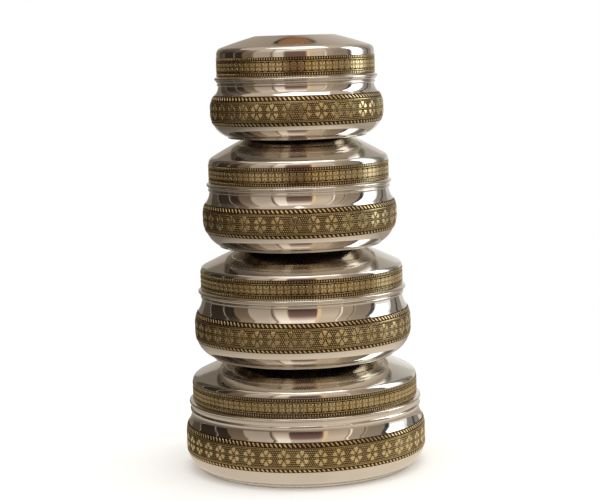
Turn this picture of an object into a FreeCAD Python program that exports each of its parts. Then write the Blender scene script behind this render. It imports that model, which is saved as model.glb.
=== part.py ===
import FreeCAD, Part
import Sketcher
import os

# A stack of four lidded sheet-metal containers that also nest inside one another.
# Each tier is a bellied bowl, a domed lid that drops over the bowl's upstand, and two
# decorative strips: one round the bowl's belly and one round the lid's wall.
# Millimetres, +Z up. The origin is the middle of the face that the bottom bowl stands on.

TIERS = ("bottom", "lower", "upper", "top")

# Sizes that every tier shares.
SHARED_SIZES = {
    "sheet_thickness": 0.7,
    "lid_clearance": 0.35,      # radial gap between the lid's wall and the bowl's upstand
    "strip_thickness": 0.4,
    "edge_gap": 0.1,            # between a strip's edge and the bend beside it
    "belly_strip_height": 22.1,
    "lid_strip_height": 13.9,
    "hem_roll": 1.0,            # radius of the rolled hem at the lid's mouth
    "ridge_rise": 0.9,          # how far the ridge above the neck stands out
    "foot_step": 1.0,           # crease where the belly starts above the foot
    "rim_gap": 8.0,             # from the upstand's rim up to the level of the lid's shoulder
    "shoulder_radius": 5.0,     # largest bend at the lid's shoulder
    "plain_above_strip": 1.0,   # outward-curved belly left bare above the strip
}

# Sizes that each tier has for itself, in the order of TIERS. Heights are counted one from
# the last, from the foot upwards, and radii are steps from the lid's outer radius.
TIER_SIZES = {
    "lid_radius": (86.5, 77.5, 68.7, 60.0),
    "hem_flare": (3.2, 2.4, 2.2, 2.2),         # hem beyond the lid's wall
    "belly_bulge": (5.9, 5.5, 5.4, 5.8),       # belly beyond the lid's wall
    "foot_inset": (10.6, 13.0, 11.8, 12.8),    # foot inside the belly
    "neck_inset": (0.5, 1.55, 1.05, 1.75),     # neck inside the edge of the ledge
    "foot_height": (2.0, 1.8, 1.6, 1.5),
    "belly_rise": (15.2, 18.2, 19.4, 17.5),    # foot to the widest part
    "belly_flat": (12.0, 7.0, 5.5, 4.5),       # upright part of the belly
    "neck_rise": (15.6, 19.5, 16.2, 16.2),     # widest part to the neck
    "ledge_rise": (6.3, 3.8, 3.8, 4.35),       # neck to the ledge that the lid rests on
    "belly_strip_drop": (3.3, 6.0, 9.4, 8.3),  # strip below the upright part
    "hem_strip": (0.5, 0.9, 0.9, 0.9),         # flare between the hem and the lid's wall
    "shoulder_strip": (3.5, 2.35, 3.6, 6.6),   # strip's upper edge to the shoulder
    "cone_run": (34.7, 34.9, 28.7, 30.0),      # shoulder in to the flat top
    "cone_rise": (15.0, 15.75, 15.5, 9.15),    # shoulder up to the flat top
}

doc = FreeCAD.newDocument("stacking_containers")


def make_sheet():
    """The spreadsheet that drives every size, one row for each value."""
    sheet = doc.addObject("Spreadsheet::Sheet", "sizes")
    values = dict(SHARED_SIZES)
    for name, tier_values in TIER_SIZES.items():
        for tier, value in zip(TIERS, tier_values):
            values[f"{tier}_{name}"] = value
    for row, (alias, value) in enumerate(values.items(), start=1):
        sheet.set(f"A{row}", alias)
        sheet.set(f"B{row}", str(value))
        sheet.setAlias(f"B{row}", alias)
    doc.recompute()
    return sheet


sizes = make_sheet()


def shared(name):
    """Expression for a size that all tiers share."""
    return f"sizes.{name}"


def number(expression):
    """The value of an expression, as a plain number."""
    value = sizes.evalExpression(expression)
    return float(getattr(value, "Value", value))


def arc_to_upright(across, up):
    """Radius of an arc that covers these two distances and ends upright."""
    return f"((({across})^2 + ({up})^2) / (2 * ({across})))"


SHEET = shared("sheet_thickness")
STRIP = shared("strip_thickness")
GAP = shared("edge_gap")


class Tier:
    """Expressions for one tier's radii and for its heights above its own foot."""

    def __init__(self, name):
        self.name = name

        def own(size):
            return f"sizes.{name}_{size}"

        self.lid = own("lid_radius")
        self.hem_flat = f"({self.lid} + {own('hem_flare')} - {shared('hem_roll')})"
        self.upstand = f"({self.lid} - {SHEET} - {shared('lid_clearance')})"
        self.neck = f"({self.hem_flat} - {own('neck_inset')})"
        self.belly = f"({self.lid} + {own('belly_bulge')})"
        self.foot = f"({self.belly} - {own('foot_inset')})"
        self.belly_start = f"({self.foot} + {shared('foot_step')})"

        self.foot_top = own("foot_height")
        self.belly_low = f"({self.foot_top} + {own('belly_rise')})"
        self.belly_high = f"({self.belly_low} + {own('belly_flat')})"
        self.neck_level = f"({self.belly_high} + {own('neck_rise')})"
        self.ridge_level = f"({self.neck_level} + {own('ledge_rise')} / 2)"
        self.ledge = f"({self.neck_level} + {own('ledge_rise')})"

        # The lid's heights are above the ledge.
        self.flare_top = f"(2 * {shared('hem_roll')} + {own('hem_strip')})"
        self.lid_strip_low = f"({self.flare_top} + {GAP})"
        self.lid_strip_high = f"({self.lid_strip_low} + {shared('lid_strip_height')})"
        self.shoulder = f"({self.lid_strip_high} + {own('shoulder_strip')})"
        self.flat_top = f"({self.shoulder} + {own('cone_rise')})"
        self.flat_radius = f"({self.lid} - {own('cone_run')})"
        self.slope = f"atan({own('cone_rise')} / {own('cone_run')})"
        self.rim = f"({self.ledge} + {self.shoulder} - {shared('rim_gap')})"

        # The belly's lower arc, and the two arcs of its upper side, which turn from outward
        # to inward just above the strip.
        self.strip_drop = own("belly_strip_drop")
        self.strip_low = f"({self.belly_low} - {self.strip_drop})"
        self.strip_high = f"({self.strip_low} + {shared('belly_strip_height')})"
        self.strip_reach = f"({self.strip_high} - {self.belly_high})"
        across = f"({self.belly} - {self.neck})"
        rise = own("neck_rise")
        turn = f"(({self.strip_reach} + {shared('plain_above_strip')}) / {rise})"
        whole = arc_to_upright(across, rise)
        self.low_arc = arc_to_upright(
            f"{self.belly} - {self.belly_start}", own("belly_rise")
        )
        self.high_arc = f"({turn} * {whole})"
        self.neck_arc = f"((1 - {turn}) * {whole})"
        self.turn_in = f"({turn} * {across})"
        self.turn_level = f"({self.belly_high} + {turn} * {rise})"

        # The bend at the lid's shoulder, no larger than the room above the strip allows.
        half_turn = f"tan((90 deg - {self.slope}) / 2)"
        room = f"({own('shoulder_strip')} - {GAP})"
        self.bend = f"min({shared('shoulder_radius')}; {room} / {half_turn})"
        self.half_turn = half_turn


def add_sketch(body, name, outline):
    """A closed outline on the body's XZ plane, as (radius, height, bend) for each corner.

    bend is None where a straight line runs to the next corner. Otherwise it is (arc radius,
    side), with side 1 where the arc bulges away from the outline and -1 where into it.
    The outline runs from the axis outwards, upwards and back.
    """
    sketch = body.newObject("Sketcher::SketchObject", name)
    plane = [f for f in body.Origin.OriginFeatures if f.Role == "XZ_Plane"][0]
    sketch.AttachmentSupport = (plane, [""])
    sketch.MapMode = "FlatFace"
    corners = [
        FreeCAD.Vector(number(radius), number(height), 0) for radius, height, _ in outline
    ]
    starts = []
    ends = []
    for index, (_, _, bend) in enumerate(outline):
        here = corners[index]
        there = corners[(index + 1) % len(corners)]
        if bend is None:
            line = sketch.addGeometry(Part.LineSegment(here, there), False)
            starts.append((line, 1))
            ends.append((line, 2))
            continue
        radius = number(bend[0])
        chord = there - here
        outward = FreeCAD.Vector(chord.y, -chord.x, 0).normalize() * bend[1]
        half = min(chord.Length / 2, radius)
        bulge = radius - (radius**2 - half**2) ** 0.5
        middle = (here + there) / 2 + outward * bulge
        arc = sketch.addGeometry(Part.Arc(here, middle, there), False)
        first = 1 if (sketch.getPoint(arc, 1) - here).Length < 1e-6 else 2
        starts.append((arc, first))
        ends.append((arc, 3 - first))
        limit = sketch.addConstraint(Sketcher.Constraint("Radius", arc, radius))
        sketch.setExpression(f"Constraints[{limit}]", bend[0])
    for index, (radius, height, _) in enumerate(outline):
        sketch.addConstraint(
            Sketcher.Constraint("Coincident", *ends[index - 1], *starts[index])
        )
        for axis, kind, expression, value in (
            (-2, "DistanceX", radius, corners[index].x),
            (-1, "DistanceY", height, corners[index].y),
        ):
            if expression == "0":
                on_axis = Sketcher.Constraint("PointOnObject", *starts[index], axis)
                sketch.addConstraint(on_axis)
            else:
                place = Sketcher.Constraint(kind, -1, 1, *starts[index], value)
                limit = sketch.addConstraint(place)
                sketch.setExpression(f"Constraints[{limit}]", expression)
    return sketch


def turn_profile(body, kind, name, outline):
    """Revolves an outline about the vertical axis, as metal added or taken away."""
    sketch = add_sketch(body, f"{name}_outline", outline)
    feature = body.newObject(f"PartDesign::{kind}", name)
    feature.Profile = (sketch, [""])
    feature.ReferenceAxis = (sketch, ["V_Axis"])
    feature.Angle = 360
    sketch.Visibility = False
    body.Tip = feature
    return feature


def new_body(name, level):
    """A body whose own base plane stands at this level of the stack."""
    body = doc.addObject("PartDesign::Body", name)
    body.Label = name
    body.setExpression("Placement.Base.z", level)
    return body


def bowl(tier, level):
    body = new_body(f"{tier.name}_bowl", level)
    ridge = shared("ridge_rise")
    ridge_chord = f"({tier.ridge_level} - {tier.neck_level})"
    ridge_arc = f"(({ridge_chord}^2 / 4 + {ridge}^2) / (2 * {ridge}))"
    ledge_arc = arc_to_upright(
        f"{tier.hem_flat} - {tier.neck}", f"{tier.ledge} - {tier.ridge_level}"
    )
    turn_profile(
        body,
        "Revolution",
        f"{tier.name}_bowl_outside",
        [
            ("0", "0", None),
            (tier.foot, "0", None),
            (tier.foot, tier.foot_top, None),
            (tier.belly_start, tier.foot_top, (tier.low_arc, 1)),
            (tier.belly, tier.belly_low, None),
            (tier.belly, tier.belly_high, (tier.high_arc, 1)),
            (f"{tier.belly} - {tier.turn_in}", tier.turn_level, (tier.neck_arc, -1)),
            (tier.neck, tier.neck_level, (ridge_arc, 1)),
            (tier.neck, tier.ridge_level, (ledge_arc, 1)),
            (tier.hem_flat, tier.ledge, None),
            (tier.upstand, tier.ledge, None),
            (tier.upstand, tier.rim, None),
            ("0", tier.rim, None),
        ],
    )
    inner_belly = f"({tier.belly} - {SHEET})"
    inner_start = f"({tier.belly_start} - {SHEET})"
    inner_foot_top = f"({tier.foot_top} + {SHEET})"
    inner_low_arc = arc_to_upright(
        f"{inner_belly} - {inner_start}", f"{tier.belly_low} - {inner_foot_top}"
    )
    above_rim = f"{tier.rim} + {SHEET}"
    turn_profile(
        body,
        "Groove",
        f"{tier.name}_bowl_inside",
        [
            ("0", SHEET, None),
            (f"{tier.foot} - {SHEET}", SHEET, None),
            (inner_start, inner_foot_top, (inner_low_arc, 1)),
            (inner_belly, tier.belly_low, None),
            (inner_belly, tier.belly_high, (tier.high_arc, 1)),
            (f"{inner_belly} - {tier.turn_in}", tier.turn_level, (tier.neck_arc, -1)),
            (f"{tier.neck} - {SHEET}", tier.neck_level, None),
            (f"{tier.upstand} - {SHEET}", f"{tier.ledge} - {SHEET}", None),
            (f"{tier.upstand} - {SHEET}", above_rim, None),
            ("0", above_rim, None),
        ],
    )
    return body


def lid(tier, level):
    body = new_body(f"{tier.name}_lid", level)
    tangent = f"({tier.bend} * {tier.half_turn})"
    hem_roll = shared("hem_roll")
    turn_profile(
        body,
        "Revolution",
        f"{tier.name}_lid_outside",
        [
            ("0", "0", None),
            (tier.hem_flat, "0", (hem_roll, 1)),
            (f"{tier.hem_flat} + {hem_roll}", hem_roll, (hem_roll, 1)),
            (tier.hem_flat, f"2 * {hem_roll}", None),
            (tier.lid, tier.flare_top, None),
            (tier.lid, f"{tier.shoulder} - {tangent}", (tier.bend, 1)),
            (
                f"{tier.lid} - {tangent} * cos({tier.slope})",
                f"{tier.shoulder} + {tangent} * sin({tier.slope})",
                None,
            ),
            (tier.flat_radius, tier.flat_top, None),
            ("0", tier.flat_top, None),
        ],
    )
    # The same slope, one sheet lower, with a tighter bend inside the shoulder.
    inner_lid = f"({tier.lid} - {SHEET})"
    inner_shoulder = f"({tier.shoulder} - {SHEET} + {SHEET} * tan({tier.slope}))"
    inner_bend = f"({tier.bend} / 2)"
    inner_tangent = f"({inner_bend} * {tier.half_turn})"
    turn_profile(
        body,
        "Groove",
        f"{tier.name}_lid_inside",
        [
            ("0", "0", None),
            (inner_lid, "0", None),
            (inner_lid, f"{inner_shoulder} - {inner_tangent}", (inner_bend, 1)),
            (
                f"{inner_lid} - {inner_tangent} * cos({tier.slope})",
                f"{inner_shoulder} + {inner_tangent} * sin({tier.slope})",
                None,
            ),
            (tier.flat_radius, f"{tier.flat_top} - {SHEET}", None),
            ("0", f"{tier.flat_top} - {SHEET}", None),
        ],
    )
    return body


def belly_strip(tier, level):
    body = new_body(f"{tier.name}_belly_strip", level)

    def on_belly(arc, reach, proud):
        """Radius at a distance above or below the upright part of the belly."""
        return f"{tier.belly} - {arc} + sqrt(({arc} + {proud})^2 - {reach}^2)"

    outer_low = f"({tier.low_arc} + {STRIP})"
    outer_high = f"({tier.high_arc} + {STRIP})"
    turn_profile(
        body,
        "Revolution",
        f"{tier.name}_belly_strip_ring",
        [
            (on_belly(tier.low_arc, tier.strip_drop, STRIP), tier.strip_low, (outer_low, 1)),
            (f"{tier.belly} + {STRIP}", tier.belly_low, None),
            (f"{tier.belly} + {STRIP}", tier.belly_high, (outer_high, 1)),
            (on_belly(tier.high_arc, tier.strip_reach, STRIP), tier.strip_high, None),
            (on_belly(tier.high_arc, tier.strip_reach, 0), tier.strip_high, (tier.high_arc, -1)),
            (tier.belly, tier.belly_high, None),
            (tier.belly, tier.belly_low, (tier.low_arc, -1)),
            (on_belly(tier.low_arc, tier.strip_drop, 0), tier.strip_low, None),
        ],
    )
    return body


def lid_strip(tier, level):
    body = new_body(f"{tier.name}_lid_strip", level)
    turn_profile(
        body,
        "Revolution",
        f"{tier.name}_lid_strip_ring",
        [
            (tier.lid, tier.lid_strip_low, None),
            (f"{tier.lid} + {STRIP}", tier.lid_strip_low, None),
            (f"{tier.lid} + {STRIP}", tier.lid_strip_high, None),
            (tier.lid, tier.lid_strip_high, None),
        ],
    )
    return body


def build_stack():
    """Every tier, each standing on the flat top of the lid below it."""
    pieces = []
    level = "0"
    for name in TIERS:
        tier = Tier(name)
        lid_level = f"{level} + {tier.ledge}"
        pieces.append(bowl(tier, level))
        pieces.append(belly_strip(tier, level))
        pieces.append(lid(tier, lid_level))
        pieces.append(lid_strip(tier, lid_level))
        level = f"{lid_level} + {tier.flat_top}"
    return pieces


def check(pieces):
    """Stops with a message if an object failed, or a piece isn't one valid solid."""
    for item in doc.Objects:
        if "Invalid" in item.State or "Error" in item.State:
            raise RuntimeError(f"{item.Name} failed: {item.State}")
    for piece in pieces:
        shape = piece.Shape
        if shape.isNull() or not shape.isValid() or len(shape.Solids) != 1:
            raise RuntimeError(f"{piece.Label} isn't one valid solid")
        inside = [f for f in piece.Group if f.TypeId == "PartDesign::Groove"]
        if inside and inside[0].Shape.Volume >= inside[0].BaseFeature.Shape.Volume / 2:
            raise RuntimeError(f"{piece.Label} wasn't hollowed")


pieces = build_stack()
doc.recompute()
check(pieces)
os.makedirs("parts", exist_ok=True)
for piece in pieces:
    piece.Shape.exportStep(f"parts/{piece.Label}.step")
    box = piece.Shape.optimalBoundingBox(False, False)
    volume = piece.Shape.Volume / 1000
    print(f"{piece.Label}: z {box.ZMin:.2f} to {box.ZMax:.2f}, r {box.XMax:.2f}, {volume:.2f} cm3")
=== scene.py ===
import math

import bpy
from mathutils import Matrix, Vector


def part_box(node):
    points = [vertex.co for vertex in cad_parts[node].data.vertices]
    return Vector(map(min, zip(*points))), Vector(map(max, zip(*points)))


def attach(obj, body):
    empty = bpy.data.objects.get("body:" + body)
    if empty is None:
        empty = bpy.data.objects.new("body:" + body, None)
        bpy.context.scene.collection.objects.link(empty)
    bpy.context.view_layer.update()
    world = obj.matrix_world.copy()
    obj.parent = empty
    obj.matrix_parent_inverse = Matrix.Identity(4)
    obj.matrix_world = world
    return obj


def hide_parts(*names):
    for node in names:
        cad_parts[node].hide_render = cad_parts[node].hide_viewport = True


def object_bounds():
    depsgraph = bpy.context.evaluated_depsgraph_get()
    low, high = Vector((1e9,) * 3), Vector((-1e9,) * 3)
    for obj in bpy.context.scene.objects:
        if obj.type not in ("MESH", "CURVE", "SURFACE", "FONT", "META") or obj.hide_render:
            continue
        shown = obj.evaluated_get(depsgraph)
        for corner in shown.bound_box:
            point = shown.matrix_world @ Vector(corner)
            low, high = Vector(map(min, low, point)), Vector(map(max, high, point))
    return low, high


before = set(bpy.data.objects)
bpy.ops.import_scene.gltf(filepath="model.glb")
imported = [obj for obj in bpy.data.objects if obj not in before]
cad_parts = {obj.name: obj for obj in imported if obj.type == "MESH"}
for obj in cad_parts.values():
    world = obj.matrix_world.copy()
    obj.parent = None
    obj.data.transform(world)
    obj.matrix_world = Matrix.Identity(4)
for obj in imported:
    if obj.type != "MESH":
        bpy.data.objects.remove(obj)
CAD_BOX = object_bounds()

# A stack of four lidded steel containers with stamped brass strips. Metres, +Z up. Every
# bowl and lid is spun from its outline, and every strip is a ring with raised ornament.

MM = 0.001
TIERS = ("bottom", "lower", "upper", "top")
SHEET = 0.7 * MM
HEM_ROLL = 1.0 * MM
RIDGE_RISE = 0.9 * MM
FOOT_STEP = 1.0 * MM
SHOULDER_BEND = 5.0 * MM
EDGE_GAP = 0.1 * MM
PLAIN_ABOVE_STRIP = 1.0 * MM
SPIN_STEPS = 256

# Sizes in mm that the frame's boxes don't give, one for each tier.
TIER_SIZES = {
    "foot_inset": (10.6, 13.0, 11.8, 12.8),
    "foot_height": (2.0, 1.8, 1.6, 1.5),
    "belly_rise": (15.2, 18.2, 19.4, 17.5),
    "belly_flat": (12.0, 7.0, 5.5, 4.5),
    "neck_rise": (15.6, 19.5, 16.2, 16.2),
    "neck_radius": (88.2, 77.35, 68.85, 59.45),
    "lid_radius": (86.5, 77.5, 68.7, 60.0),
    "cone_run": (34.7, 34.9, 28.7, 30.0),
    "cone_rise": (15.0, 15.75, 15.5, 9.15),
}

# How many flowers go round each belly strip, and how far apart the other ornament stands.
FLOWERS = {"bottom": 43, "lower": 41, "upper": 35, "top": 34}
CELL_PITCH = 5.3 * MM
TICK_PITCH = 1.95 * MM
ROPE_PITCH = 3.5 * MM
DOT_PITCH = 1.5 * MM

# The stamped ornament: how far it goes outwards and inwards from the steel.
GROUND = 0.06 * MM
RELIEF = 0.32 * MM
PRICK = 0.3 * MM
BACKING = 0.1 * MM
BACK_ROWS = 14              # on the side of a ring that lies against the steel

# Its bands, from the edge of a strip to the middle, and their studs (across, up). A taper
# is a stud's top as a share of its foot, and a share is of the full height of the ornament.
ROPE_WIDTH = 2.95 * MM
UPPER_ROPE_WIDTH = 3.9 * MM
ROPE_ROWS = 6
BAR_WIDTH = 1.6 * MM
BAR_TAPER = 0.66
LOWER_BAR_LENGTH = 3.7 * MM
UPPER_BAR_LENGTH = 4.6 * MM
LOWER_BAR_LEVEL = 0.47      # of its border's width, from the edge of the strip
UPPER_BAR_LEVEL = 0.5
LOWER_BAR_LEAN = 38         # degrees
UPPER_BAR_LEAN = 47
TICK_WIDTH = 2.6 * MM
TICK_LEVEL = 0.48
TICK_SIZE = (1.25 * MM, 2.2 * MM)
TICK_TAPER = 0.75
LINE_WIDTH = 0.6 * MM
LINE_EDGE = 0.1 * MM
LINE_SHARE = 0.8
FLOWER_ACROSS = 3.4 * MM    # from the middle of a flower to its petals
FLOWER_UP = 4.25 * MM
PETAL_SIZE = (5.7 * MM, 6.3 * MM)
PETAL_ROUNDING = 0.27       # of a petal one unit across
PETAL_TAPER = 0.8
EYE_SIZE = (1.3 * MM, 1.3 * MM)
EYE_SHARE = 0.6
EYE_TAPER = 0.6
CELL_SIZE = (7.0 * MM, 9.2 * MM)
CELL_SHARE = 0.52
CELL_TAPER = 0.94
CELL_PETAL_SIZE = (2.2 * MM, 3.8 * MM)
CELL_PETAL_TAPER = 0.76
CELL_PETAL_ACROSS = 1.2 * MM
CELL_PETAL_UP = 1.6 * MM
LID_STRIP_COLUMNS = 240

LID_CLEARANCE = 0.35 * MM
FOOT_RING = 6.0 * MM        # width of the flat ring that the bowl stands on
BASE_RECESS = 0.4 * MM
CONE_CROWN = 0.4 * MM       # how far a lid's cone bulges

# Colours of the finishes.
CLEAN_STEEL = (0.80, 0.77, 0.71, 1)
SMUDGED_STEEL = (0.74, 0.705, 0.64, 1)
BRIGHT_BRASS = (0.82, 0.685, 0.40, 1)
DULL_BRASS = (0.68, 0.545, 0.275, 1)
PATINA = (0.075, 0.042, 0.016, 1)

# The studio.
FLOOR_SIZE = 14.0
FLOOR_PAINT = (0.95, 0.945, 0.93, 1)
FLOOR_FADE = (0.14, 0.42)   # where the painted floor starts and ends turning white
WHITE = (1, 1, 1, 1)
CARD_DISTANCE = 0.9
CARD_HEIGHT = 1.25
# The ceiling card and the floor glow ring glow, and only reflections show them: painted
# reflections of a lit ceiling and floor.
CEILING = 2.2
CEILING_COLOUR = (0.60, 0.49, 0.40)
FLOOR_GLOW = (0.76, 0.65, 0.53)
FLOOR_GLOW_START = 0.0845
FLOOR_GLOW_NEAR = (0.12, 0.34, 1.0, 0.42)   # two distances, and the strength at each
FLOOR_GLOW_SIDES = (-0.4, 0.4, 0.45, 1.5)   # two places on X, and the strength at each
WORLD_FILL = 1.12
WORLD_COLOUR = (1.0, 0.985, 0.96, 1)
CAMERA_LENS = 102.6
CAMERA_PLACE = (0, -1.308, 0.3252)
CAMERA_DIP = 6.93           # degrees
CAMERA_ROLL = -1.67
CAMERA_SHIFT = -0.0013

# Lamps: (name, place, size, brightness of its face, colour).
LAMPS = (
    ("top_soft_box", (0.1, -0.15, 1.55), (1.0, 1.0), 1.5, (1.0, 0.98, 0.95)),
    ("window_soft_box", (1.4, 0.25, 0.8), (0.6, 1.4), 1.5, (0.98, 0.99, 1.0)),
)

# Cards that glow and only reflections show, as painted reflections of a room: (name, left and
# right bearing in degrees, then the colours low, halfway and high).
# The levels of the three colours are shares of a card's height, from its middle.
CARD_LEVELS = (-0.5, -0.05, 0.45)
CARDS = (
    ("back_left_card", -180, -160, (0.52, 0.48, 0.45), (0.40, 0.34, 0.28), (0.33, 0.27, 0.21)),
    ("grey_left_card", -160, -141, (0.19, 0.17, 0.14), (0.19, 0.16, 0.13), (0.23, 0.18, 0.15)),
    ("dark_left_card", -141, -122, (0.09, 0.07, 0.05), (0.07, 0.055, 0.04), (0.12, 0.09, 0.07)),
    ("black_left_card", -122, -80, (0.03, 0.02, 0.015), (0.04, 0.03, 0.02), (0.18, 0.13, 0.1)),
    ("umber_left_card", -80, -61, (0.14, 0.095, 0.06), (0.2, 0.145, 0.10), (0.38, 0.30, 0.23)),
    ("beige_left_card", -61, -41, (0.38, 0.31, 0.24), (0.48, 0.40, 0.32), (0.68, 0.56, 0.48)),
    ("cream_front_card", -41, -30, (0.40, 0.32, 0.25), (0.50, 0.40, 0.33), (0.85, 0.70, 0.60)),
    ("lamp_front_card", -30, -16, (0.38, 0.29, 0.22), (0.92, 0.80, 0.66), (1.3, 1.2, 1.1)),
    ("brown_front_card", -16, 16, (0.055, 0.03, 0.03), (0.26, 0.155, 0.12), (1.25, 1.12, 1.0)),
    ("amber_line_card", 16, 20, (0.90, 0.62, 0.36), (0.95, 0.68, 0.42), (0.80, 0.62, 0.40)),
    ("cream_right_card", 20, 40, (0.48, 0.37, 0.28), (0.72, 0.60, 0.46), (0.70, 0.56, 0.44)),
    ("tan_right_card", 40, 60, (0.42, 0.33, 0.24), (0.42, 0.33, 0.25), (0.60, 0.48, 0.38)),
    ("umber_right_card", 60, 80, (0.28, 0.22, 0.16), (0.32, 0.26, 0.20), (0.42, 0.34, 0.27)),
    ("dark_right_card", 80, 86, (0.05, 0.05, 0.06), (0.06, 0.055, 0.06), (0.18, 0.15, 0.13)),
    ("grey_right_card", 114, 141, (0.26, 0.24, 0.22), (0.31, 0.28, 0.25), (0.58, 0.52, 0.45)),
    ("pale_right_card", 141, 161, (0.75, 0.72, 0.68), (0.46, 0.43, 0.38), (0.31, 0.29, 0.27)),
    ("back_right_card", 161, 180, (0.95, 0.93, 0.90), (0.62, 0.56, 0.49), (0.36, 0.29, 0.22)),
)

# Narrow glowing strips nearer the stack, as painted highlights and dark lines in reflections:
# (name, bearing, width in degrees, colour).
STREAK_DISTANCE = 0.86
STREAKS = (
    ("bright_streak", 43, 1.8, (1.1, 1.0, 0.85)),
    ("dark_streak", 57, 1.2, (0.10, 0.08, 0.06)),
    ("right_dark_streak", 127, 4, (0.08, 0.07, 0.065)),
    ("front_dark_streak", -33, 2.4, (0.14, 0.09, 0.075)),
    ("left_pale_streak", -96, 1.2, (0.40, 0.35, 0.30)),
)

# A brown disc in a dark rim that glows and only reflections show. It is a painted reflection
# that makes the brown spot on the top lid. Given here: how high it hangs, and half its width and
# height.
SPOT_DISC_HEIGHT = 0.945
SPOT_DISC_SIZE = (0.095, 0.09)
SPOT_DISC_RIM = 0.022
SPOT_DISC_COLOUR = (0.34, 0.15, 0.065)
SPOT_DISC_RIM_COLOUR = (0.035, 0.02, 0.01)
SPOT_DISC_GAP = 0.01              # from the dark rim disc to the brown disc, towards the stack


# ---------------------------------------------------------------- tools for modelling


def deselect_all():
    if bpy.context.object and bpy.context.object.mode == "EDIT":
        bpy.ops.object.mode_set(mode="OBJECT")
    bpy.ops.object.select_all(action="DESELECT")


def arc_points(start, end, radius, side, steps):
    """Points after start along an arc to end. Side 1 bulges to the right of the way."""
    across = end[0] - start[0]
    along = end[1] - start[1]
    chord = math.hypot(across, along)
    radius = max(radius, chord / 2)
    out = (along / chord * side, -across / chord * side)
    depth = math.sqrt(radius**2 - chord**2 / 4)
    middle = ((start[0] + end[0]) / 2 - out[0] * depth, (start[1] + end[1]) / 2 - out[1] * depth)
    first = math.atan2(start[1] - middle[1], start[0] - middle[0])
    last = math.atan2(end[1] - middle[1], end[0] - middle[0])
    turn = (last - first + math.pi) % (2 * math.pi) - math.pi
    return [
        (
            middle[0] + radius * math.cos(first + turn * step / steps),
            middle[1] + radius * math.sin(first + turn * step / steps),
        )
        for step in range(1, steps + 1)
    ]


def eased(before, corner, after, ease, steps=4):
    """Points that round one corner off, starting and ending this far from it."""

    def towards(target):
        away = math.dist(corner, target)
        share = min(ease, away * 0.45) / away
        return tuple(c + (t - c) * share for c, t in zip(corner, target))

    start = towards(before)
    end = towards(after)
    points = []
    for step in range(steps + 1):
        t = step / steps
        points.append(
            tuple(
                (1 - t) ** 2 * s + 2 * t * (1 - t) * c + t**2 * e
                for s, c, e in zip(start, corner, end)
            )
        )
    return points


def trace(outline):
    """Turns corners (radius, height, ease, bend) into points. Bend is (radius, side, steps)
    where an arc leads to the next corner, and ease rounds the corner itself."""
    path = []
    for index, (radius, height, ease, bend) in enumerate(outline):
        path.append(((radius, height), ease))
        if bend:
            following = outline[index + 1][:2]
            for point in arc_points((radius, height), following, *bend)[:-1]:
                path.append((point, 0))
    points = []
    for index, (point, ease) in enumerate(path):
        if ease and 0 < index < len(path) - 1:
            points += eased(path[index - 1][0], point, path[index + 1][0], ease)
        else:
            points.append(point)
    return points


def spin_outline(name, points):
    """Draws an outline from the axis back to the axis and spins it into a closed shell."""
    deselect_all()
    radius, height = points[0]
    bpy.ops.mesh.primitive_plane_add(size=MM, location=(radius, 0, height))
    piece = bpy.context.object
    piece.name = name
    bpy.ops.object.transform_apply()
    bpy.ops.object.mode_set(mode="EDIT")
    bpy.ops.mesh.select_mode(type="VERT")
    bpy.ops.mesh.select_all(action="SELECT")
    bpy.ops.mesh.merge(type="CENTER")
    for before, after in zip(points, points[1:]):
        step = (after[0] - before[0], 0, after[1] - before[1])
        bpy.ops.mesh.extrude_vertices_move(TRANSFORM_OT_translate={"value": step})
    bpy.ops.mesh.select_all(action="SELECT")
    bpy.ops.mesh.spin(
        steps=SPIN_STEPS, angle=2 * math.pi, center=(0, 0, 0), axis=(0, 0, 1)
    )
    bpy.ops.mesh.select_all(action="SELECT")
    bpy.ops.mesh.remove_doubles(threshold=0.01 * MM)
    bpy.ops.mesh.normals_make_consistent(inside=False)
    bpy.ops.object.mode_set(mode="OBJECT")
    bpy.ops.object.shade_smooth_by_angle(angle=math.radians(40))
    return piece


def stud(place, size, vertices, rise, taper, turn):
    """A small raised shape on the side of a drum, at (radius, across, height).

    It starts as a flat outline facing +X with its first corner up. A triangle gets rounded
    corners. Size is across and up, turn leans it to the left, and the outline is then drawn
    out by its rise and tapered.
    """
    radius, across, height = place
    bpy.ops.mesh.primitive_circle_add(
        vertices=vertices, radius=0.5, fill_type="NGON", location=place,
        rotation=(math.pi / 2, 0, math.pi / 2),
    )
    if vertices == 3:
        bpy.ops.mesh.bevel(offset=PETAL_ROUNDING, segments=3, affect="VERTICES")
    bpy.ops.transform.resize(value=(1, size[0], size[1]), center_override=place)
    bpy.ops.transform.rotate(value=-turn, orient_axis="X", center_override=place)
    bpy.ops.mesh.extrude_region_move(TRANSFORM_OT_translate={"value": (rise, 0, 0)})
    centre = (radius + rise, across, height)
    bpy.ops.transform.resize(value=(1, taper, taper), center_override=centre)


def repeat_round(name, studs, count):
    """Makes a few studs, wraps them on the drum and repeats them round the axis."""
    deselect_all()
    bpy.ops.mesh.primitive_plane_add(size=MM)
    piece = bpy.context.object
    piece.name = name
    bpy.ops.object.mode_set(mode="EDIT")
    bpy.ops.mesh.select_mode(type="VERT")
    bpy.ops.mesh.select_all(action="SELECT")
    bpy.ops.mesh.delete(type="VERT")
    for settings in studs:
        stud(*settings)
    bpy.ops.object.mode_set(mode="OBJECT")
    drum = studs[0][0][0]
    for point in piece.data.vertices:
        reach, bearing = point.co.x, point.co.y / drum
        point.co.x = reach * math.cos(bearing)
        point.co.y = reach * math.sin(bearing)
    bpy.ops.object.mode_set(mode="EDIT")
    bpy.ops.mesh.select_all(action="SELECT")
    bpy.ops.mesh.normals_make_consistent(inside=False)
    bpy.ops.mesh.spin(
        steps=count - 1, dupli=True, angle=2 * math.pi * (count - 1) / count,
        center=(0, 0, 0), axis=(0, 0, 1),
    )
    bpy.ops.object.mode_set(mode="OBJECT")
    return piece


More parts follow.
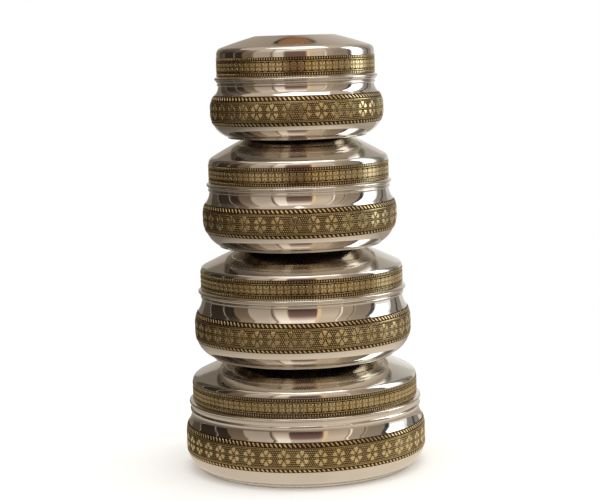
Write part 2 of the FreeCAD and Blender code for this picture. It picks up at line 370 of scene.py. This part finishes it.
def select_faces(piece, chosen):
    """In edit mode, selects the faces whose centre passes the test."""
    bpy.ops.mesh.select_mode(type="FACE")
    bpy.ops.mesh.select_all(action="DESELECT")
    bpy.ops.object.mode_set(mode="OBJECT")
    for face in piece.data.polygons:
        face.select = chosen(face.center)
    bpy.ops.object.mode_set(mode="EDIT")


def ring(name, base, low, profile, columns, back, lattice=None):
    """A closed ring whose outer side follows (height, rise) above its low edge.

    Lattice is (low, high, prick): between those heights the rows each shift by half a
    column, and every face is drawn out to a small point.
    """
    deselect_all()
    bpy.ops.mesh.primitive_circle_add(
        vertices=columns, radius=base + profile[0][1], location=(0, 0, low + profile[0][0])
    )
    piece = bpy.context.object
    piece.name = name
    bpy.ops.object.transform_apply()
    bpy.ops.object.mode_set(mode="EDIT")
    bpy.ops.mesh.select_mode(type="EDGE")
    bpy.ops.mesh.select_all(action="SELECT")
    drop = profile[0][0] - profile[-1][0]
    rows = range(BACK_ROWS + 1)
    way = profile + [(profile[-1][0] + drop * row / BACK_ROWS, -back) for row in rows]
    for before, after in zip(way, way[1:]):
        lift = (0, 0, after[0] - before[0])
        bpy.ops.mesh.extrude_region_move(TRANSFORM_OT_translate={"value": lift})
        widen = (base + after[1]) / (base + before[1])
        bpy.ops.transform.resize(value=(widen, widen, 1), center_override=(0, 0, 0))
        if lattice and lattice[0] <= before[0] < after[0] <= lattice[1]:
            bpy.ops.transform.rotate(
                value=math.pi / columns, orient_axis="Z", center_override=(0, 0, 0)
            )
    bpy.ops.mesh.select_all(action="DESELECT")
    bpy.ops.mesh.select_non_manifold()
    bpy.ops.mesh.bridge_edge_loops()
    bpy.ops.mesh.select_all(action="SELECT")
    bpy.ops.mesh.normals_make_consistent(inside=False)
    if lattice:
        band = (low + lattice[0], low + lattice[1])
        select_faces(
            piece, lambda c: band[0] < c.z < band[1] and math.hypot(c.x, c.y) > base - back / 2
        )
        bpy.ops.mesh.poke(offset=lattice[2])
    bpy.ops.object.mode_set(mode="OBJECT")
    return piece


def join(pieces):
    """Joins the pieces into the first."""
    deselect_all()
    for piece in pieces:
        piece.select_set(True)
    bpy.context.view_layer.objects.active = pieces[0]
    bpy.ops.object.join()
    return pieces[0]


def lay_on(piece, base, surface):
    """Lays a straight ring on a curved wall, and notes how far each point stands out."""
    relief = piece.data.attributes.new("relief", "FLOAT", "POINT")
    for point, mark in zip(piece.data.vertices, relief.data):
        reach = math.hypot(point.co.x, point.co.y)
        rise = reach - base
        mark.value = max(0.0, min(1.0, (rise - GROUND) / RELIEF))
        share = (surface(point.co.z) + rise) / reach
        point.co.x *= share
        point.co.y *= share
    piece.data.update()


# ---------------------------------------------------------------- the pieces


def belly_radius(tier, height):
    """Radius of the steel at a height on the belly or just above or below it."""
    if height < tier["belly_low"]:
        arc, reach = tier["low_arc"], tier["belly_low"] - height
    elif height > tier["belly_high"]:
        arc, reach = tier["high_arc"], height - tier["belly_high"]
    else:
        return tier["belly"]
    return tier["belly"] - arc + math.sqrt(arc**2 - reach**2)


def arc_to_upright(across, up):
    """Radius of an arc that ends upright, this far across and up from its start."""
    return (across**2 + up**2) / (2 * across)


def measure(index, name):
    """Radii and levels of one tier, in metres, from its boxes in the frame."""
    own = {size: values[index] * MM for size, values in TIER_SIZES.items()}
    bowl_low, bowl_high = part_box(f"{name}_bowl")
    lid_low, lid_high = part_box(f"{name}_lid")
    strip_low, strip_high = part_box(f"{name}_belly_strip")
    band_low, band_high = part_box(f"{name}_lid_strip")
    tier = dict(own)
    tier.update(
        name=name, base=bowl_low.z, rim=bowl_high.z, belly=bowl_high.x,
        ledge=lid_low.z, top=lid_high.z, hem=lid_high.x,
        strip_low=strip_low.z, strip_high=strip_high.z,
        band_low=band_low.z, band_high=band_high.z,
    )
    tier["lid"] = own["lid_radius"]
    tier["neck"] = own["neck_radius"]
    tier["upstand"] = tier["lid"] - SHEET - LID_CLEARANCE
    tier["foot"] = tier["belly"] - own["foot_inset"]
    tier["foot_top"] = tier["base"] + own["foot_height"]
    tier["belly_low"] = tier["foot_top"] + own["belly_rise"]
    tier["belly_high"] = tier["belly_low"] + own["belly_flat"]
    tier["neck_level"] = tier["belly_high"] + own["neck_rise"]
    across = tier["belly"] - tier["neck"]
    turn = (tier["strip_high"] + PLAIN_ABOVE_STRIP - tier["belly_high"]) / own["neck_rise"]
    whole = arc_to_upright(across, own["neck_rise"])
    tier["low_arc"] = arc_to_upright(own["foot_inset"] - FOOT_STEP, own["belly_rise"])
    tier["high_arc"] = turn * whole
    tier["neck_arc"] = (1 - turn) * whole
    tier["turn_in"] = turn * across
    tier["turn_level"] = tier["belly_high"] + turn * own["neck_rise"]
    tier["shoulder"] = tier["top"] - own["cone_rise"]
    return tier


def make_bowl(tier):
    """A bowl: foot, belly, neck with a ridge, ledge for the lid and upstand inside it."""
    foot, foot_top, base = tier["foot"], tier["foot_top"], tier["base"]
    belly, low, high = tier["belly"], tier["belly_low"], tier["belly_high"]
    turn, level = tier["turn_in"], tier["turn_level"]
    neck, neck_level, ledge = tier["neck"], tier["neck_level"], tier["ledge"]
    ridge_level = (neck_level + ledge) / 2
    ridge_chord = ridge_level - neck_level
    ridge_arc = (ridge_chord**2 / 4 + RIDGE_RISE**2) / (2 * RIDGE_RISE)
    hem_flat = tier["hem"] - HEM_ROLL
    ledge_arc = arc_to_upright(hem_flat - neck, ledge - ridge_level)
    upstand, rim = tier["upstand"], tier["rim"]
    low_arc, high_arc, neck_arc = tier["low_arc"], tier["high_arc"], tier["neck_arc"]
    inner_start = foot + FOOT_STEP - SHEET
    inner_low_arc = arc_to_upright(belly - SHEET - inner_start, low - foot_top - SHEET)
    recess = foot - FOOT_RING
    outline = [
        (0, base + BASE_RECESS, 0, None),
        (recess, base + BASE_RECESS, 0.3 * MM, None),
        (recess + BASE_RECESS, base, 0.3 * MM, None),
        (foot, base, 0.8 * MM, None),
        (foot, foot_top, 0.25 * MM, None),
        (foot + FOOT_STEP, foot_top, 0.2 * MM, (low_arc, 1, 14)),
        (belly, low, 0, None),
        (belly, high, 0, (high_arc, 1, 10)),
        (belly - turn, level, 0, (neck_arc, -1, 10)),
        (neck, neck_level, 0.15 * MM, (ridge_arc, 1, 8)),
        (neck, ridge_level, 0.15 * MM, (ledge_arc, 1, 5)),
        (hem_flat, ledge, 0.1 * MM, None),
        (upstand, ledge, 0.1 * MM, None),
        (upstand, rim, 0.25 * MM, None),
        (upstand - SHEET, rim, 0.25 * MM, None),
        (upstand - SHEET, ledge - SHEET, 0.5 * MM, None),
        (neck - SHEET, neck_level, 0.5 * MM, (neck_arc, 1, 10)),
        (belly - SHEET - turn, level, 0, (high_arc, -1, 10)),
        (belly - SHEET, high, 0, None),
        (belly - SHEET, low, 0, (inner_low_arc, -1, 14)),
        (inner_start, foot_top + SHEET, 0.5 * MM, None),
        (foot - SHEET, base + SHEET, 0.5 * MM, None),
        (0, base + SHEET, 0, None),
    ]
    return spin_outline(f"{tier['name']}_bowl_spun", trace(outline))


def make_lid(tier):
    """A lid: hem, drum that carries the strip, rounded shoulder, cone and flat top."""
    lid, ledge, shoulder, top = tier["lid"], tier["ledge"], tier["shoulder"], tier["top"]
    hem_flat = tier["hem"] - HEM_ROLL
    flat = lid - tier["cone_run"]
    slope = math.atan2(tier["cone_rise"], tier["cone_run"])
    half_turn = math.tan((math.pi / 2 - slope) / 2)
    room = shoulder - tier["band_high"] - EDGE_GAP
    bend = min(SHOULDER_BEND, room / half_turn)
    tangent = bend * half_turn
    out, up = math.cos(slope), math.sin(slope)
    crown = (tier["cone_run"] ** 2 + tier["cone_rise"] ** 2) / (8 * CONE_CROWN)
    inside = lid - SHEET
    inner_shoulder = shoulder - SHEET + SHEET * math.tan(slope)
    inner = tangent / 2
    outline = [
        (0, top - SHEET, 0, None),
        (flat, top - SHEET, 0.5 * MM, None),
        (inside - inner * out, inner_shoulder + inner * up, 0, (bend / 2, -1, 8)),
        (inside, inner_shoulder - inner, 0, None),
        (inside, ledge, 0.2 * MM, None),
        (hem_flat, ledge, 0, (HEM_ROLL, 1, 6)),
        (hem_flat + HEM_ROLL, ledge + HEM_ROLL, 0, (HEM_ROLL, 1, 6)),
        (hem_flat, ledge + 2 * HEM_ROLL, 0.2 * MM, None),
        (lid, tier["band_low"] - EDGE_GAP, 0.2 * MM, None),
        (lid, shoulder - tangent, 0, (bend, 1, 12)),
        (lid - tangent * out, shoulder + tangent * up, 0, (crown, 1, 16)),
        (flat, top, 0.8 * MM, None),
        (0, top, 0, None),
    ]
    return spin_outline(f"{tier['name']}_lid_spun", trace(outline))


def ground_rows(start, end, count):
    """Rows of flat ground from start up to, but not at, the end."""
    step = (end - start) / count
    return [(start + step * row, GROUND) for row in range(count)]


def raised_line(start):
    """A fine line that runs round, as part of a ring's profile."""
    top = (GROUND + RELIEF) * LINE_SHARE
    end = start + LINE_WIDTH
    return [(start, GROUND), (start + LINE_EDGE, top), (end - LINE_EDGE, top), (end, GROUND)]


def make_belly_strip(tier):
    """Rope borders, two fine lines and a pricked field of six-petalled flowers."""
    base = tier["belly"]
    low = tier["strip_low"]
    height = tier["strip_high"] - low
    line_low = ROPE_WIDTH
    line_high = height - UPPER_ROPE_WIDTH
    field_low = line_low + LINE_WIDTH
    field_high = line_high - LINE_WIDTH
    rows = round((field_high - field_low) / DOT_PITCH)
    profile = ground_rows(0, line_low, ROPE_ROWS) + raised_line(line_low)
    profile += ground_rows(field_low, field_high, rows)[1:] + raised_line(field_high)
    profile += ground_rows(line_high, height, ROPE_ROWS)[1:] + [(height, GROUND)]
    columns = round(2 * math.pi * base / DOT_PITCH)
    lattice = (field_low, field_high, PRICK)
    band = ring(
        f"{tier['name']}_belly_strip_stamped", base, low, profile, columns, BACKING, lattice
    )
    start = base + GROUND / 2
    rise = GROUND / 2 + RELIEF
    ropes = round(2 * math.pi * base / ROPE_PITCH)
    bars = [
        ((start, 0, low + level), (length, BAR_WIDTH), 6, rise, BAR_TAPER, math.radians(-lean))
        for level, length, lean in (
            (ROPE_WIDTH * LOWER_BAR_LEVEL, LOWER_BAR_LENGTH, LOWER_BAR_LEAN),
            (height - UPPER_ROPE_WIDTH * UPPER_BAR_LEVEL, UPPER_BAR_LENGTH, UPPER_BAR_LEAN),
        )
    ]
    rope = repeat_round("rope", bars, ropes)
    middle = low + (field_low + field_high) / 2
    petals = []
    for petal in range(6):
        angle = math.radians(90 + 60 * petal)
        across = FLOWER_ACROSS * math.cos(angle)
        up = FLOWER_UP * math.sin(angle)
        place = (start, across, middle + up)
        turn = math.atan2(up, across) + math.pi / 2
        petals.append((place, PETAL_SIZE, 3, rise, PETAL_TAPER, turn))
    petals.append(((start, 0, middle), EYE_SIZE, 6, rise * EYE_SHARE, EYE_TAPER, 0))
    flowers = repeat_round("flowers", petals, FLOWERS[tier["name"]])
    strip = join([band, rope, flowers])
    lay_on(strip, base, lambda z: belly_radius(tier, z))
    return strip


def make_lid_strip(tier):
    """Two rows of ticks, two fine lines and a row of square cells with crossed petals."""
    base = tier["lid"]
    low = tier["band_low"]
    height = tier["band_high"] - low
    line_low = TICK_WIDTH
    line_high = height - TICK_WIDTH - LINE_WIDTH
    profile = [(0, GROUND)] + raised_line(line_low) + raised_line(line_high)
    profile.append((height, GROUND))
    band = ring(
        f"{tier['name']}_lid_strip_stamped", base, low, profile, LID_STRIP_COLUMNS, BACKING
    )
    start = base + GROUND / 2
    rise = GROUND / 2 + RELIEF
    ticks = [
        ((start, 0, low + level), TICK_SIZE, 6, rise, TICK_TAPER, 0)
        for level in (TICK_WIDTH * TICK_LEVEL, height - TICK_WIDTH * TICK_LEVEL)
    ]
    tick_rows = repeat_round("ticks", ticks, round(2 * math.pi * base / TICK_PITCH))
    middle = low + height / 2
    cell = [((start, 0, middle), CELL_SIZE, 4, rise * CELL_SHARE, CELL_TAPER, 0)]
    for across in (-CELL_PETAL_ACROSS, CELL_PETAL_ACROSS):
        for up in (-CELL_PETAL_UP, CELL_PETAL_UP):
            place = (start, across, middle + up)
            turn = math.atan2(up, across) + math.pi / 2
            cell.append((place, CELL_PETAL_SIZE, 6, rise, CELL_PETAL_TAPER, turn))
    cells = repeat_round("cells", cell, round(2 * math.pi * base / CELL_PITCH))
    strip = join([band, tick_rows, cells])
    lay_on(strip, base, lambda z: base)
    return strip


# ---------------------------------------------------------------- finishes


class Nodes:
    """Adds and links the nodes of one tree."""

    def __init__(self, tree):
        self.tree = tree
        tree.nodes.clear()

    def add(self, kind, inputs=(), **settings):
        node = self.tree.nodes.new(kind)
        for key, value in settings.items():
            setattr(node, key, value)
        for key, value in dict(inputs).items():
            if isinstance(value, bpy.types.NodeSocket):
                self.tree.links.new(value, node.inputs[key])
            else:
                node.inputs[key].default_value = value
        return node

    def math(self, operation, first, second):
        return self.add("ShaderNodeMath", {0: first, 1: second}, operation=operation).outputs[0]

    def remap(self, value, low, high, to_low, to_high):
        return self.add(
            "ShaderNodeMapRange", {0: value, 1: low, 2: high, 3: to_low, 4: to_high}
        ).outputs[0]

    def noise(self, place, scale, detail):
        return self.add(
            "ShaderNodeTexNoise", {"Vector": place, "Scale": scale, "Detail": detail}
        ).outputs["Fac"]

    def blend(self, share, first, second):
        return self.add(
            "ShaderNodeMix", {0: share, 6: first, 7: second}, data_type="RGBA"
        ).outputs[2]


def new_material(name):
    material = bpy.data.materials.new(name)
    material.use_nodes = True
    return material, Nodes(material.node_tree)


def steel_finish(name, smooth, rough, ring_depth, wave_depth):
    """Steel sheet: lathe rings, shallow waves and wiped smudges."""
    material, nodes = new_material(name)
    place = nodes.add("ShaderNodeTexCoord").outputs["Object"]
    split = nodes.add("ShaderNodeSeparateXYZ", {0: place})
    flat = nodes.add("ShaderNodeCombineXYZ", {0: split.outputs[0], 1: split.outputs[1]})
    reach = nodes.add("ShaderNodeVectorMath", {0: flat.outputs[0]}, operation="LENGTH")
    rings = nodes.add(
        "ShaderNodeCombineXYZ", {0: reach.outputs["Value"], 1: split.outputs[2]}
    ).outputs[0]
    lathe = nodes.noise(rings, 420.0, 1.0)
    waves = nodes.noise(place, 16.0, 1.0)
    smudge = nodes.noise(place, 38.0, 5.0)
    roughness = nodes.remap(smudge, 0.35, 0.7, smooth, rough)
    worn = nodes.math("ADD", roughness, nodes.remap(lathe, 0.4, 0.7, 0.0, 0.04))
    tint = nodes.blend(
        nodes.remap(smudge, 0.3, 0.75, 0.0, 1.0), CLEAN_STEEL, SMUDGED_STEEL
    )
    wavy = nodes.add(
        "ShaderNodeBump", {"Height": waves, "Strength": 1.0, "Distance": wave_depth}
    ).outputs[0]
    fine = nodes.add(
        "ShaderNodeBump",
        {"Height": lathe, "Strength": 1.0, "Distance": ring_depth, "Normal": wavy},
    ).outputs[0]
    shader = nodes.add(
        "ShaderNodeBsdfPrincipled",
        {"Base Color": tint, "Metallic": 1.0, "Roughness": worn, "Normal": fine},
    )
    nodes.add("ShaderNodeOutputMaterial", {0: shader.outputs[0]})
    return material


def antique_brass():
    """Stamped brass: bright where it stands out, dark patina left in the ground."""
    material, nodes = new_material("antique_brass")
    place = nodes.add("ShaderNodeTexCoord").outputs["Object"]
    relief = nodes.add("ShaderNodeAttribute", attribute_name="relief").outputs["Fac"]
    blotch = nodes.noise(place, 60.0, 4.0)
    grain = nodes.noise(place, 1400.0, 2.0)
    worn = nodes.math("ADD", relief, nodes.remap(grain, 0.3, 0.7, -0.12, 0.12))
    bright = nodes.remap(worn, 0.22, 0.78, 0.0, 1.0)
    metal = nodes.blend(
        nodes.remap(blotch, 0.35, 0.65, 0.0, 1.0), BRIGHT_BRASS, DULL_BRASS
    )
    colour = nodes.blend(bright, PATINA, metal)
    roughness = nodes.remap(bright, 0.0, 1.0, 0.48, 0.27)
    bump = nodes.add(
        "ShaderNodeBump", {"Height": grain, "Strength": 0.6, "Distance": 0.03 * MM}
    ).outputs[0]
    shader = nodes.add(
        "ShaderNodeBsdfPrincipled",
        {"Base Color": colour, "Metallic": 1.0, "Roughness": roughness, "Normal": bump},
    )
    nodes.add("ShaderNodeOutputMaterial", {0: shader.outputs[0]})
    return material


# ---------------------------------------------------------------- floor, cards and lights


def seen_directly(nodes):
    """1 for rays from the camera and for those that metal or glass sends on."""
    path = nodes.add("ShaderNodeLightPath").outputs
    first = nodes.math("MAXIMUM", path["Is Camera Ray"], path["Is Glossy Ray"])
    return nodes.math("MAXIMUM", first, path["Is Transmission Ray"])


def make_floor():
    deselect_all()
    bpy.ops.mesh.primitive_plane_add(size=FLOOR_SIZE)
    floor = bpy.context.object
    floor.name = "floor"
    material, nodes = new_material("pale_floor")
    place = nodes.add("ShaderNodeTexCoord").outputs["Object"]
    away = nodes.add("ShaderNodeVectorMath", {0: place}, operation="LENGTH").outputs["Value"]
    fade = nodes.math("MULTIPLY", nodes.remap(away, *FLOOR_FADE, 0.0, 1.0), seen_directly(nodes))
    paint = nodes.add("ShaderNodeBsdfDiffuse", {"Color": FLOOR_PAINT})
    white = nodes.add("ShaderNodeEmission", {"Color": WHITE, "Strength": 1.0})
    both = nodes.add(
        "ShaderNodeMixShader", {0: fade, 1: paint.outputs[0], 2: white.outputs[0]}
    )
    nodes.add("ShaderNodeOutputMaterial", {0: both.outputs[0]})
    floor.data.materials.append(material)


def upright_board(bearing, distance, width, height):
    """A board that stands on the floor and faces the stack. Bearings are degrees to the
    right of the way from the stack to the camera."""
    deselect_all()
    around = math.radians(bearing)
    bpy.ops.mesh.primitive_plane_add(
        size=1,
        location=(distance * math.sin(around), -distance * math.cos(around), height / 2),
        rotation=(math.pi / 2, 0, around),
    )
    board = bpy.context.object
    board.scale = (width, height, 1)
    return board


def reflect_only(card, name):
    """Names a card, lets only reflections show it, and returns the nodes of its look."""
    card.name = name
    card.visible_camera = False
    card.visible_diffuse = False
    card.visible_shadow = False
    material, nodes = new_material(name)
    card.data.materials.append(material)
    return nodes


def dress_card(card, name, colours):
    """Makes a card glow in three colours from its low edge to its high edge."""
    nodes = reflect_only(card, name)
    place = nodes.add("ShaderNodeTexCoord").outputs["Object"]
    up = nodes.add("ShaderNodeSeparateXYZ", {0: place}).outputs[1]
    low, middle, high = CARD_LEVELS
    lower = nodes.blend(
        nodes.remap(up, low, middle, 0.0, 1.0), (*colours[0], 1), (*colours[1], 1)
    )
    colour = nodes.blend(nodes.remap(up, middle, high, 0.0, 1.0), lower, (*colours[2], 1))
    glow = nodes.add("ShaderNodeEmission", {"Color": colour, "Strength": 1.0})
    nodes.add("ShaderNodeOutputMaterial", {0: glow.outputs[0]})


def make_disc(name, distance, inset, colour):
    """An upright glowing oval behind the stack, which only reflections show: a painted
    reflection.
    """
    deselect_all()
    bpy.ops.mesh.primitive_circle_add(
        vertices=48, radius=1, fill_type="NGON",
        location=(0, distance, SPOT_DISC_HEIGHT), rotation=(math.pi / 2, 0, 0),
    )
    bpy.context.object.scale = (SPOT_DISC_SIZE[0] - inset, SPOT_DISC_SIZE[1] - inset, 1)
    dress_card(bpy.context.object, name, [colour] * 3)


def make_floor_glow():
    """A warm ring just above the floor, which only reflections show: brighter near the
    stack and towards the window."""
    deselect_all()
    bpy.ops.mesh.primitive_circle_add(
        vertices=64, radius=CARD_DISTANCE, fill_type="NGON", location=(0, 0, 0.3 * MM)
    )
    glow_ring = bpy.context.object
    bpy.ops.object.mode_set(mode="EDIT")
    bpy.ops.mesh.select_mode(type="FACE")
    bpy.ops.mesh.select_all(action="SELECT")
    bpy.ops.mesh.inset(thickness=CARD_DISTANCE - FLOOR_GLOW_START)
    bpy.ops.mesh.delete(type="FACE")
    bpy.ops.object.mode_set(mode="OBJECT")
    nodes = reflect_only(glow_ring, "floor_glow")
    place = nodes.add("ShaderNodeTexCoord").outputs["Object"]
    away = nodes.add("ShaderNodeVectorMath", {0: place}, operation="LENGTH").outputs["Value"]
    side = nodes.add("ShaderNodeSeparateXYZ", {0: place}).outputs[0]
    near = nodes.remap(away, *FLOOR_GLOW_NEAR)
    lit = nodes.remap(side, *FLOOR_GLOW_SIDES)
    glow = nodes.add(
        "ShaderNodeEmission",
        {"Color": (*FLOOR_GLOW, 1), "Strength": nodes.math("MULTIPLY", near, lit)},
    )
    nodes.add("ShaderNodeOutputMaterial", {0: glow.outputs[0]})


# Glowing cards, streaks, a disc, a ceiling and a floor ring that only reflections show: painted
# reflections of a room round the stack.
def make_cards():
    for name, left, right, *colours in CARDS:
        width = 2 * CARD_DISTANCE * math.tan(math.radians(right - left) / 2)
        card = upright_board((left + right) / 2, CARD_DISTANCE, width, CARD_HEIGHT)
        dress_card(card, name, colours)
    for name, bearing, width, colour in STREAKS:
        streak = upright_board(
            bearing, STREAK_DISTANCE, STREAK_DISTANCE * math.radians(width), CARD_HEIGHT
        )
        dress_card(streak, name, [colour] * 3)
    # Painted reflection: a brown disc in a dark rim glows for reflections only and makes the
    # brown spot on the top lid.
    make_disc("reflected_spot_rim", STREAK_DISTANCE, 0.0, SPOT_DISC_RIM_COLOUR)
    make_disc("reflected_spot", STREAK_DISTANCE - SPOT_DISC_GAP, SPOT_DISC_RIM, SPOT_DISC_COLOUR)
    deselect_all()
    bpy.ops.mesh.primitive_circle_add(
        vertices=48, radius=CARD_DISTANCE * 2, fill_type="NGON", location=(0, 0, CEILING)
    )
    dress_card(bpy.context.object, "ceiling_card", [CEILING_COLOUR] * 3)
    make_floor_glow()


def make_light(name, place, size, radiance, colour):
    """A soft box that faces the stack, as bright as a surface of that radiance."""
    lamp = bpy.data.lights.new(name, "AREA")
    lamp.shape = "RECTANGLE"
    lamp.size, lamp.size_y = size
    lamp.energy = radiance * math.pi * size[0] * size[1]
    lamp.color = colour
    light = bpy.data.objects.new(name, lamp)
    bpy.context.scene.collection.objects.link(light)
    light.location = place
    target = (CAD_BOX[0] + CAD_BOX[1]) / 2
    light.rotation_euler = (target - light.location).to_track_quat("-Z", "Y").to_euler()


def make_world():
    world = bpy.data.worlds.new("studio")
    bpy.context.scene.world = world
    world.use_nodes = True
    nodes = Nodes(world.node_tree)
    fill = nodes.add(
        "ShaderNodeBackground", {"Color": WORLD_COLOUR, "Strength": WORLD_FILL}
    )
    white = nodes.add("ShaderNodeBackground", {"Color": WHITE, "Strength": 1.0})
    both = nodes.add(
        "ShaderNodeMixShader",
        {0: seen_directly(nodes), 1: fill.outputs[0], 2: white.outputs[0]},
    )
    nodes.add("ShaderNodeOutputWorld", {0: both.outputs[0]})


def make_camera():
    camera = bpy.data.objects.new("camera", bpy.data.cameras.new("camera"))
    bpy.context.scene.collection.objects.link(camera)
    camera.data.lens = CAMERA_LENS
    camera.data.sensor_width = 36.0
    camera.data.shift_x = CAMERA_SHIFT
    camera.location = CAMERA_PLACE
    camera.rotation_mode = "ZXY"
    camera.rotation_euler = (math.radians(90 - CAMERA_DIP), 0, math.radians(CAMERA_ROLL))
    bpy.context.scene.camera = camera


# ---------------------------------------------------------------- put together

make_camera()
make_world()
make_floor()
make_cards()
for lamp in LAMPS:
    make_light(*lamp)

mirror = steel_finish(
    "polished_steel", smooth=0.035, rough=0.09, ring_depth=0.003 * MM, wave_depth=0.12 * MM
)
satin = steel_finish(
    "satin_steel", smooth=0.07, rough=0.13, ring_depth=0.008 * MM, wave_depth=0.08 * MM
)
brass = antique_brass()
MAKERS = (
    (make_bowl, "bowl", "bowl", mirror, "steel"),
    (make_belly_strip, "belly_strip", "bowl", brass, "strip"),
    (make_lid, "lid", "lid", satin, "steel"),
    (make_lid_strip, "lid_strip", "lid", brass, "strip"),
)
for index, name in enumerate(TIERS):
    tier = measure(index, name)
    for maker, node, body, finish, slot in MAKERS:
        piece = maker(tier)
        piece.data.materials.clear()
        piece.data.materials.append(finish)
        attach(piece, f"{name}_{body}")
        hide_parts(f"{name}_{node}")

bpy.context.scene.view_settings.view_transform = "Standard"
